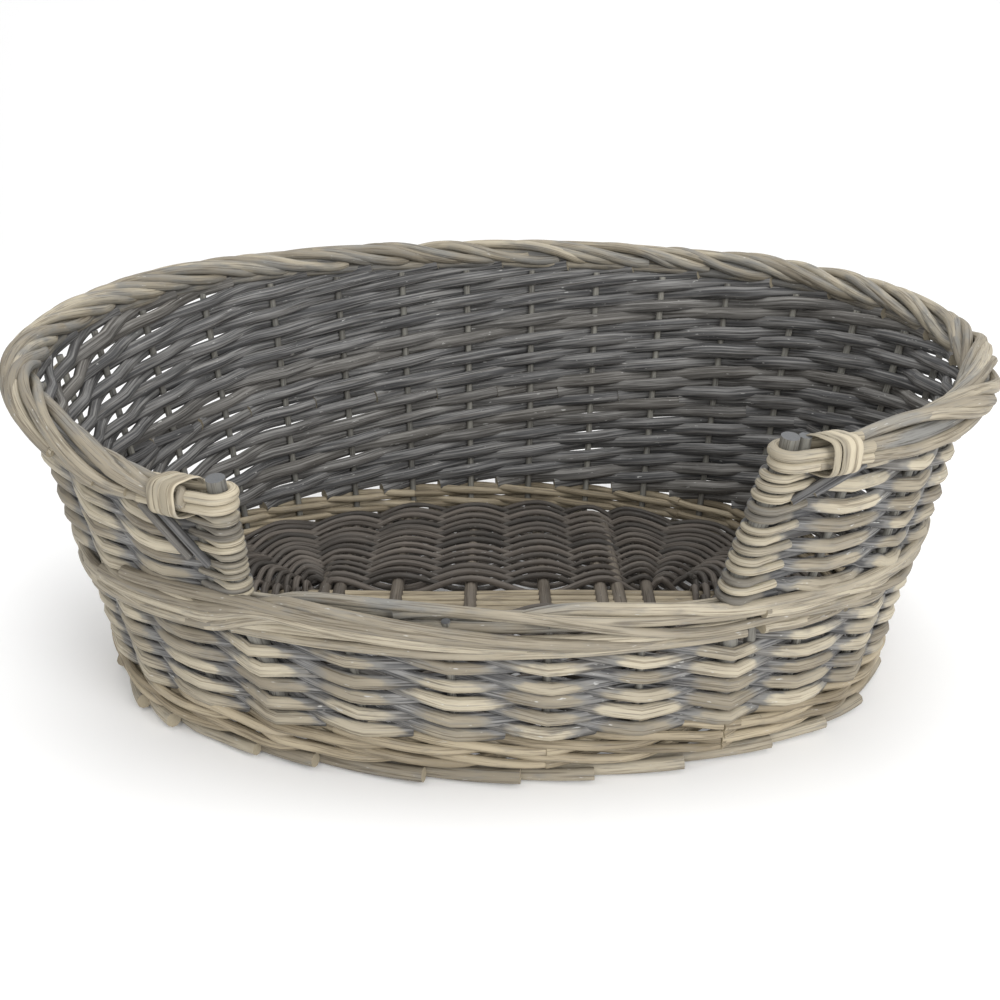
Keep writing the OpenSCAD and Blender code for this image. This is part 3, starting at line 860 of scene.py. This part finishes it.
def base_sticks():
    """Straight lengthwise rods side by side, and thick crosswise ones that they pass through."""
    draw = np.random.default_rng(111)
    places = 40
    along = np.linspace(-1, 1, places)[None]
    x = along * span("long_sticks", 0)[1] + np.zeros((LONG_COUNT, 1))
    y = long_y[:, None] + wander(draw, LONG_COUNT, places, 0.0006)
    z = base_z - 0.0012 + wander(draw, LONG_COUNT, places, 0.0004)
    sticks = rods("base_long_sticks", np.stack([x, y, z], -1), LONG_R * 1.12, [0, 0, 1], sides=10, seed=112)
    place(sticks, "long_sticks", slot="light_willow")
    half = rim_b - SIDE_R + np.sqrt((SIDE_R - (rim_a - base_high[0])) ** 2 - CROSS_AT ** 2) - 0.016
    y = shift + along * half[:, None]
    x = CROSS_AT[:, None] + draw.normal(0, 0.0012, (len(half), 1)) * y / 0.1
    radius = CROSS_R * (1 + wander(draw, len(half), places, 0.04))
    sticks = rods("base_cross_sticks", np.stack([x, y, base_z + 0.0012 + 0 * y], -1), radius, [0, 0, 1],
                  sides=12, seed=113)
    place(sticks, "cross_sticks", slot="grey_stick")


base_sticks()

# %% [markdown]
# The base weave is made as rings. Each ring runs straight along the sticks and rounds the ends of the
# oval, where extra ribs fan out so that the spaces stay even. It rises well over a stick and dips under
# the next, and the next ring does the opposite. That makes the rows of small arches.

# %% Base weave
WEAVE_R = 0.0028
RINGS = 26
FAN = 7               # spaces between ribs round one end of the base
STICK_X = np.array([-0.1455, -0.089, -0.025, 0.039, 0.092, 0.128])


def sticks_passed(x, y):
    """Number of sticks a ring has passed at a point, as a whole number on every stick: read from x
    along the two sides and from the turn round the last stick at the two ends."""
    side = np.interp(x, STICK_X, np.arange(len(STICK_X)))
    sides = len(STICK_X) - 1
    right = sides + FAN / math.pi * np.arctan2(x - STICK_X[-1], y - middle_y)
    left = 2 * sides + FAN + FAN / math.pi * np.arctan2(STICK_X[0] - x, middle_y - y)
    straight = np.where(y > middle_y, side, 2 * sides + FAN - side)
    return np.where(x > STICK_X[-1], right, np.where(x < STICK_X[0], left, straight))


def base_weave():
    """Rings of thin rod, each a mix of a narrow inner loop and the oval's edge. The height of a ring
    is a cosine of the number of sticks passed plus the ring's own number."""
    draw = np.random.default_rng(121)
    places = 420
    angle = np.linspace(0, 360, places)
    outer_x, outer_y = plan(angle, wall_off(base_z) - 0.0125)
    radians = np.radians(angle)
    loop_x = 0.160 * np.clip(1.9 * np.sin(radians), -1, 1) + 0.008 * np.sin(radians)
    loop_y = middle_y - shift + 0.0275 * np.clip(-2.6 * np.cos(radians), -1, 1)
    grow = np.linspace(0, 1, RINGS)[:, None]
    x = loop_x * (1 - grow) + outer_x * grow
    y = loop_y * (1 - grow) + outer_y * grow + shift
    lift = np.cos(math.pi * (sticks_passed(x, y) + np.arange(RINGS)[:, None]))
    z = base_z + 0.0010 + 0.0078 * lift + wander(draw, RINGS, places, 0.0004, 40)
    y = y + wander(draw, RINGS, places, 0.0006, 40)
    path = np.stack([x, y, z], -1)
    path = np.concatenate([path, path[:, :2]], 1)
    radius = WEAVE_R * (1 + wander(draw, RINGS, places + 2, 0.1, 24)) * draw.normal(1, 0.08, (RINGS, 1))
    piece = rods("base_weave_rods", path, radius, [0, 0, 1], sides=6, seed=122)
    return place(piece, "base_weave", slot="base_weave")


base_weave()

# %% [markdown]
# ## Finishes
#
# The willow is peeled, then washed grey. The wash is pale tan where it was rubbed outside and dark
# slate where the inside was left, and that dark inner face also carries painted shade for the inside
# of the basket. Each rod has its own tint, long streaks, a few pale flecks that are partly nicks in the
# wash and partly painted glints, and small ridges. All of it follows the stored grain position, so it
# bends with the rod.
# One node group works out these colours and masks, and each finish sets its own values.

# %% The willow group
def add(nodes, kind, **settings):
    """A shader node with its properties set."""
    node = nodes.new(kind)
    for key, value in settings.items():
        setattr(node, key, value)
    return node


def mix_colour(group, factor, first, second, blend="MIX"):
    """Mixes two colours by a factor. Each may be a socket or a fixed colour."""
    node = add(group.nodes, "ShaderNodeMix", data_type="RGBA", blend_type=blend)
    for socket, value in ((node.inputs[0], factor), (node.inputs[6], first), (node.inputs[7], second)):
        if isinstance(value, bpy.types.NodeSocket):
            group.links.new(value, socket)
        else:
            socket.default_value = value
    return node.outputs[2]


def maths(group, operation, *values, clamp=False):
    """A math node fed with sockets or numbers."""
    node = add(group.nodes, "ShaderNodeMath", operation=operation, use_clamp=clamp)
    for socket, value in zip(node.inputs, values):
        if isinstance(value, bpy.types.NodeSocket):
            group.links.new(value, socket)
        else:
            socket.default_value = value
    return node.outputs[0]


def stretch(group, value, low, high):
    """Maps low..high to 0..1, smoothly and within bounds."""
    node = add(group.nodes, "ShaderNodeMapRange", interpolation_type="SMOOTHSTEP")
    group.links.new(value, node.inputs[0])
    node.inputs[1].default_value, node.inputs[2].default_value = low, high
    return node.outputs[0]


def streaks(group, grain, along, across, detail):
    """Noise that is long along the rod and fine across it: the grain position scaled differently
    in its own directions."""
    scaled = add(group.nodes, "ShaderNodeVectorMath", operation="MULTIPLY")
    group.links.new(grain, scaled.inputs[0])
    scaled.inputs[1].default_value = (along, across, across)
    noise = add(group.nodes, "ShaderNodeTexNoise")
    group.links.new(scaled.outputs[0], noise.inputs["Vector"])
    noise.inputs["Scale"].default_value = 1.0
    noise.inputs["Detail"].default_value = detail
    noise.inputs["Roughness"].default_value = 0.6
    return noise.outputs[0]


def willow_group():
    """Colour, roughness and ridge height of washed willow, from the stored tint, the dark inner face (partly
    staining, partly painted shade) and grain.
    """
    group = bpy.data.node_groups.new("washed_bark", "ShaderNodeTree")
    colours = ("Pale", "Deep", "Grey", "Edge", "Slate", "Slate Light", "Fleck", "Cut")
    for name in colours:
        group.interface.new_socket(name, in_out="INPUT", socket_type="NodeSocketColor")
    group.interface.new_socket("Flecks", in_out="INPUT", socket_type="NodeSocketFloat")
    results = (("Color", "NodeSocketColor"), ("Roughness", "NodeSocketFloat"), ("Height", "NodeSocketFloat"))
    for name, kind in results:
        group.interface.new_socket(name, in_out="OUTPUT", socket_type=kind)
    given = group.nodes.new("NodeGroupInput").outputs
    read = {name: add(group.nodes, "ShaderNodeAttribute", attribute_name=name)
            for name in ("tint", "slate", "cut", "grain")}
    grain = read["grain"].outputs["Vector"]
    tint, slate, cut = (read[name].outputs["Fac"] for name in ("tint", "slate", "cut"))
    slow = streaks(group, grain, 16, 90, 2)
    line = streaks(group, grain, 14, 700, 4)
    speck = streaks(group, grain, 110, 520, 2)
    blotch = streaks(group, grain, 45, 160, 3)
    # the tan outside: pale or deep by the rod's tint, then greyed in blotches and in fine lines
    paleness = maths(group, "ADD", maths(group, "MULTIPLY", tint, 0.62), slow)
    tan = mix_colour(group, stretch(group, paleness, 0.42, 1.12), given["Deep"], given["Pale"])
    greyed = maths(group, "MULTIPLY", stretch(group, blotch, 0.5, 0.78), 0.55)
    tan = mix_colour(group, greyed, tan, given["Grey"])
    lined = maths(group, "MULTIPLY", stretch(group, line, 0.50, 0.70), 0.42)
    tan = mix_colour(group, lined, tan, given["Grey"])
    # the slate inside, partly staining and partly painted shade, with lighter lines, and a little of the deep
    # tan on some rods
    dark = mix_colour(group, stretch(group, line, 0.38, 0.66), given["Slate"], given["Slate Light"])
    warmed = maths(group, "MULTIPLY", stretch(group, tint, 0.5, 1.0), 0.22)
    dark = mix_colour(group, warmed, dark, given["Deep"])
    # the staining's ragged edge between the two, pale flecks that are partly nicks and partly painted glints,
    # dark cracks, and the colour of a cut
    edge = maths(group, "ADD", slate, maths(group, "MULTIPLY", maths(group, "SUBTRACT", blotch, 0.5), 0.5))
    bloom = maths(group, "MULTIPLY", stretch(group, edge, 0.04, 0.4), stretch(group, slow, 0.38, 0.62))
    colour = mix_colour(group, bloom, tan, given["Edge"])
    colour = mix_colour(group, stretch(group, edge, 0.4, 0.9), colour, dark)
    fleck = maths(group, "MULTIPLY", stretch(group, speck, 0.68, 0.76), given["Flecks"])
    colour = mix_colour(group, fleck, colour, given["Fleck"])
    crack = stretch(group, streaks(group, grain, 22, 900, 3), 0.36, 0.5)
    shade = (0.55, 0.53, 0.51, 1)
    colour = mix_colour(group, maths(group, "SUBTRACT", 1.0, crack), colour, shade, "MULTIPLY")
    colour = mix_colour(group, maths(group, "MULTIPLY", cut, 0.85), colour, given["Cut"])
    result = group.nodes.new("NodeGroupOutput").inputs
    group.links.new(colour, result["Color"])
    rough = maths(group, "ADD", 0.5, maths(group, "MULTIPLY", slow, 0.3))
    rough = maths(group, "SUBTRACT", rough, maths(group, "MULTIPLY", fleck, 0.2))
    group.links.new(rough, result["Roughness"])
    group.links.new(maths(group, "ADD", line, maths(group, "MULTIPLY", blotch, 0.7)), result["Height"])
    return group


willow = willow_group()
print("willow group with", len(willow.nodes), "nodes")

# %% [markdown]
# Colours are kept as the painter's sRGB numbers and turned into the
# linear values that the renderer works in.

# %% Finishes for each kind of willow
def linear(red, green, blue):
    """Linear colour from sRGB numbers of 0 to 255, by the sRGB curve."""
    values = np.array([red, green, blue]) / 255
    values = np.where(values < 0.04045, values / 12.92, ((values + 0.055) / 1.055) ** 2.4)
    return (*values, 1.0)


# pale flecks: partly nicks in the wash and partly painted glints
FLECK = (188, 188, 184)
RIDGE = 0.0004        # height of the bark's ridges


def finish(name, pale, deep, grey, edge, slate, slate_light, cut, flecks):
    """A willow material: the group's colour and roughness on a plain shader, with its ridges as bump."""
    material = bpy.data.materials.new(name)
    material.use_nodes = True
    tree = material.node_tree
    shader = tree.nodes["Principled BSDF"]
    bark = add(tree.nodes, "ShaderNodeGroup", node_tree=willow)
    for socket, value in (("Pale", pale), ("Deep", deep), ("Grey", grey), ("Edge", edge), ("Slate", slate),
                          ("Slate Light", slate_light), ("Fleck", FLECK), ("Cut", cut)):
        bark.inputs[socket].default_value = linear(*value)
    bark.inputs["Flecks"].default_value = flecks
    bump = add(tree.nodes, "ShaderNodeBump")
    bump.inputs["Strength"].default_value = 0.6
    bump.inputs["Distance"].default_value = RIDGE
    tree.links.new(bark.outputs["Height"], bump.inputs["Height"])
    tree.links.new(bump.outputs["Normal"], shader.inputs["Normal"])
    tree.links.new(bark.outputs["Color"], shader.inputs["Base Color"])
    tree.links.new(bark.outputs["Roughness"], shader.inputs["Roughness"])
    shader.inputs["Specular IOR Level"].default_value = 0.3
    return material


# Slate and Slate Light colour the dark inner face: partly staining and partly painted shade for the inside of
# the basket.
washed = finish("washed_willow", (170, 161, 142), (126, 118, 103), (112, 111, 108), (118, 117, 113),
                (66, 66, 67), (104, 103, 102), (150, 140, 120), 0.6)
side_weave = finish("siding_willow", (176, 167, 147), (126, 118, 103), (106, 105, 102), (116, 115, 112),
                    (70, 70, 71), (132, 131, 129), (138, 129, 110), 0.8)
light = finish("light_willow", (164, 152, 129), (126, 115, 95), (116, 110, 100), (120, 117, 110),
               (88, 84, 77), (122, 116, 104), (150, 138, 114), 0.4)
stick = finish("grey_stick", (138, 136, 128), (106, 104, 98), (100, 101, 102), (108, 109, 110),
               (74, 75, 78), (110, 111, 112), (88, 90, 93), 0.3)
cross_stick = finish("brown_stick", (116, 108, 97), (84, 78, 71), (88, 84, 80), (96, 92, 88),
                     (60, 58, 57), (92, 88, 84), (96, 88, 78), 0.3)
floor_weave = finish("base_weave", (102, 95, 88), (62, 58, 54), (78, 76, 73), (84, 84, 84), (48, 46, 46),
                     (84, 82, 80), (96, 88, 78), 0.35)
skein = finish("pale_skein", (176, 166, 145), (138, 130, 113), (120, 118, 112), (126, 125, 121),
               (74, 75, 78), (110, 110, 110), (160, 149, 126), 0.5)
turned = finish("turned_willow", (166, 157, 137), (98, 94, 87), (98, 98, 97), (108, 107, 104),
                (60, 60, 62), (102, 102, 101), (150, 140, 118), 0.6)
FINISH = {"siding_low": side_weave, "siding_up": side_weave, "foot_wale_rods": light, "mid_wale_rods": washed,
          "foot_border_rods": washed, "stakes_tall": stick, "stakes_short": stick, "entry_posts": stick,
          "liner_sticks": stick, "turns_right": turned, "turns_left": turned, "rim_border_rods": washed,
          "rim_under_rods": washed, "loop_right": skein, "loop_left": skein, "lashing_turns_right": skein,
          "lashing_turns_left": skein, "front_rail_rods": washed, "base_long_sticks": light,
          "base_cross_sticks": cross_stick, "base_weave_rods": floor_weave}
for name, material in FINISH.items():
    bpy.data.objects[name].data.materials.append(material)
print(len(FINISH), "pieces finished")

# %% [markdown]
# ## Floor, light and camera
#
# The basket stands on a pale floor that runs into a pale background. Two large soft lights in front
# and one overhead keep the shadows gentle, as in a plain product view.

# %% Studio
def backdrop():
    """A floor that curves up into a wall behind: a profile of a line, a quarter circle and a line,
    carried along X."""
    depth, height, bend, half = 3.0, 3.2, 1.2, 6.0
    quarter = np.linspace(0, math.pi / 2, 16)
    y = np.concatenate([[-4.0], depth - bend + bend * np.sin(quarter), [depth]])
    z = np.concatenate([[0.0], bend - bend * np.cos(quarter), [height]])
    x = np.linspace(-half, half, 2)
    points = np.stack(np.broadcast_arrays(x[:, None], y[None], z[None]), -1).reshape(-1, 3)
    row = np.arange(len(y) - 1)
    quads = np.stack([row, row + len(y), row + len(y) + 1, row + 1], -1)
    piece = mesh_from("studio_floor", points, [quads], [True])
    paper = bpy.data.materials.new("studio_paper")
    paper.use_nodes = True
    shader = paper.node_tree.nodes["Principled BSDF"]
    shader.inputs["Base Color"].default_value = (0.9, 0.9, 0.9, 1)
    shader.inputs["Roughness"].default_value = 0.9
    piece.data.materials.append(paper)
    return piece


def soft_light(name, where, aim, size, power):
    """A square area light that points at a place."""
    lamp = bpy.data.lights.new(name, "AREA")
    lamp.size, lamp.energy = size, power
    holder = bpy.data.objects.new(name, lamp)
    holder.location = where
    holder.rotation_mode = "QUATERNION"
    holder.rotation_quaternion = (Vector(aim) - Vector(where)).to_track_quat("-Z", "Y")
    bpy.context.scene.collection.objects.link(holder)
    return holder


backdrop()
soft_light("front_left", (-0.4, -2.9, 1.5), (0, 0, 0.1), 1.4, 24)
soft_light("front_right", (1.7, -2.3, 1.3), (0, 0, 0.1), 1.5, 54)
soft_light("overhead", (0, 0.3, 2.4), (0, 0, 0), 2.4, 34)
world = bpy.data.worlds.new("studio_air")
bpy.context.scene.world = world
world.use_nodes = True
world.node_tree.nodes["Background"].inputs[0].default_value = (1, 1, 1, 1)
world.node_tree.nodes["Background"].inputs[1].default_value = 0.75
bpy.context.scene.view_settings.view_transform = "Standard"

# %% [markdown]
# The camera stands in front of the entry and looks down by about twenty degrees, near enough for the
# front of the basket to look clearly larger than its back.

# %% Camera
ELEVATION = math.radians(22.06)
DISTANCE = 0.9887
LENS_RATIO = 1.199    # focal length as a share of the picture's width
camera_data = bpy.data.cameras.new("camera")
camera_data.sensor_width = 36
camera_data.lens = 36 * LENS_RATIO
camera_data.shift_x = 0.0005
camera_data.shift_y = 0.0134
camera = bpy.data.objects.new("camera", camera_data)
toward = Vector((0, -math.cos(ELEVATION), math.sin(ELEVATION)))
camera.location = Vector((0, shift, 0.1)) + toward * DISTANCE
camera.rotation_mode = "QUATERNION"
camera.rotation_quaternion = (-toward).to_track_quat("-Z", "Y")
bpy.context.scene.collection.objects.link(camera)
bpy.context.scene.camera = camera
print("camera at", [round(v, 3) for v in camera.location])
